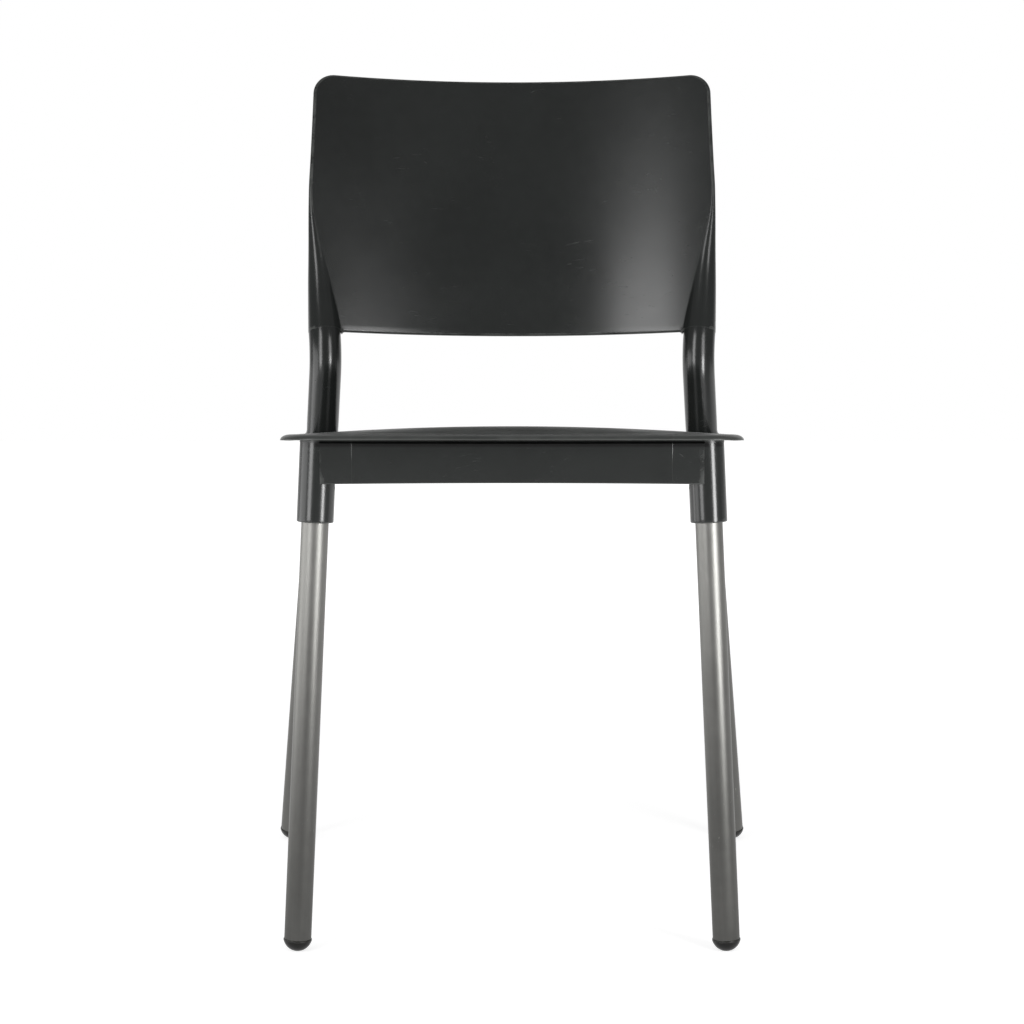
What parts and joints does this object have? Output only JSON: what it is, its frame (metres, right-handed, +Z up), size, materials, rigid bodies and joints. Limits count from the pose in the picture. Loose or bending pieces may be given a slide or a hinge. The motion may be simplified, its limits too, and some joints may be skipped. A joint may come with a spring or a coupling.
{
  "type": "choir chair",
  "caption": "Armless stacking chair: one-piece moulded shell with an open-backed curved backrest, on straight splayed tube legs with domed glides.",
  "frame": {"origin": "on the floor, under the middle of the chair's overall box", "axes": "+Z up, -Y the way the sitter faces, +X the sitter's left"},
  "size_m": [0.5074, 0.5051, 0.8224],
  "materials": {
    "body_plastic": "fine-textured dark grey polypropylene with a soft sheen",
    "leg_aluminium": "satin anodised tube",
    "glide_plastic": "black polyamide, worn on the floor side",
    "screw_steel": "zinc plated"
  },
  "bodies": {
    "root": {"front_glides": "glide_plastic", "front_left_leg": "leg_aluminium", "front_right_leg": "leg_aluminium", "leg_screws": "screw_steel", "moulded_body": "body_plastic", "rear_glides": "glide_plastic", "rear_left_leg": "leg_aluminium", "rear_right_leg": "leg_aluminium"}
  },
  "joints": []
}
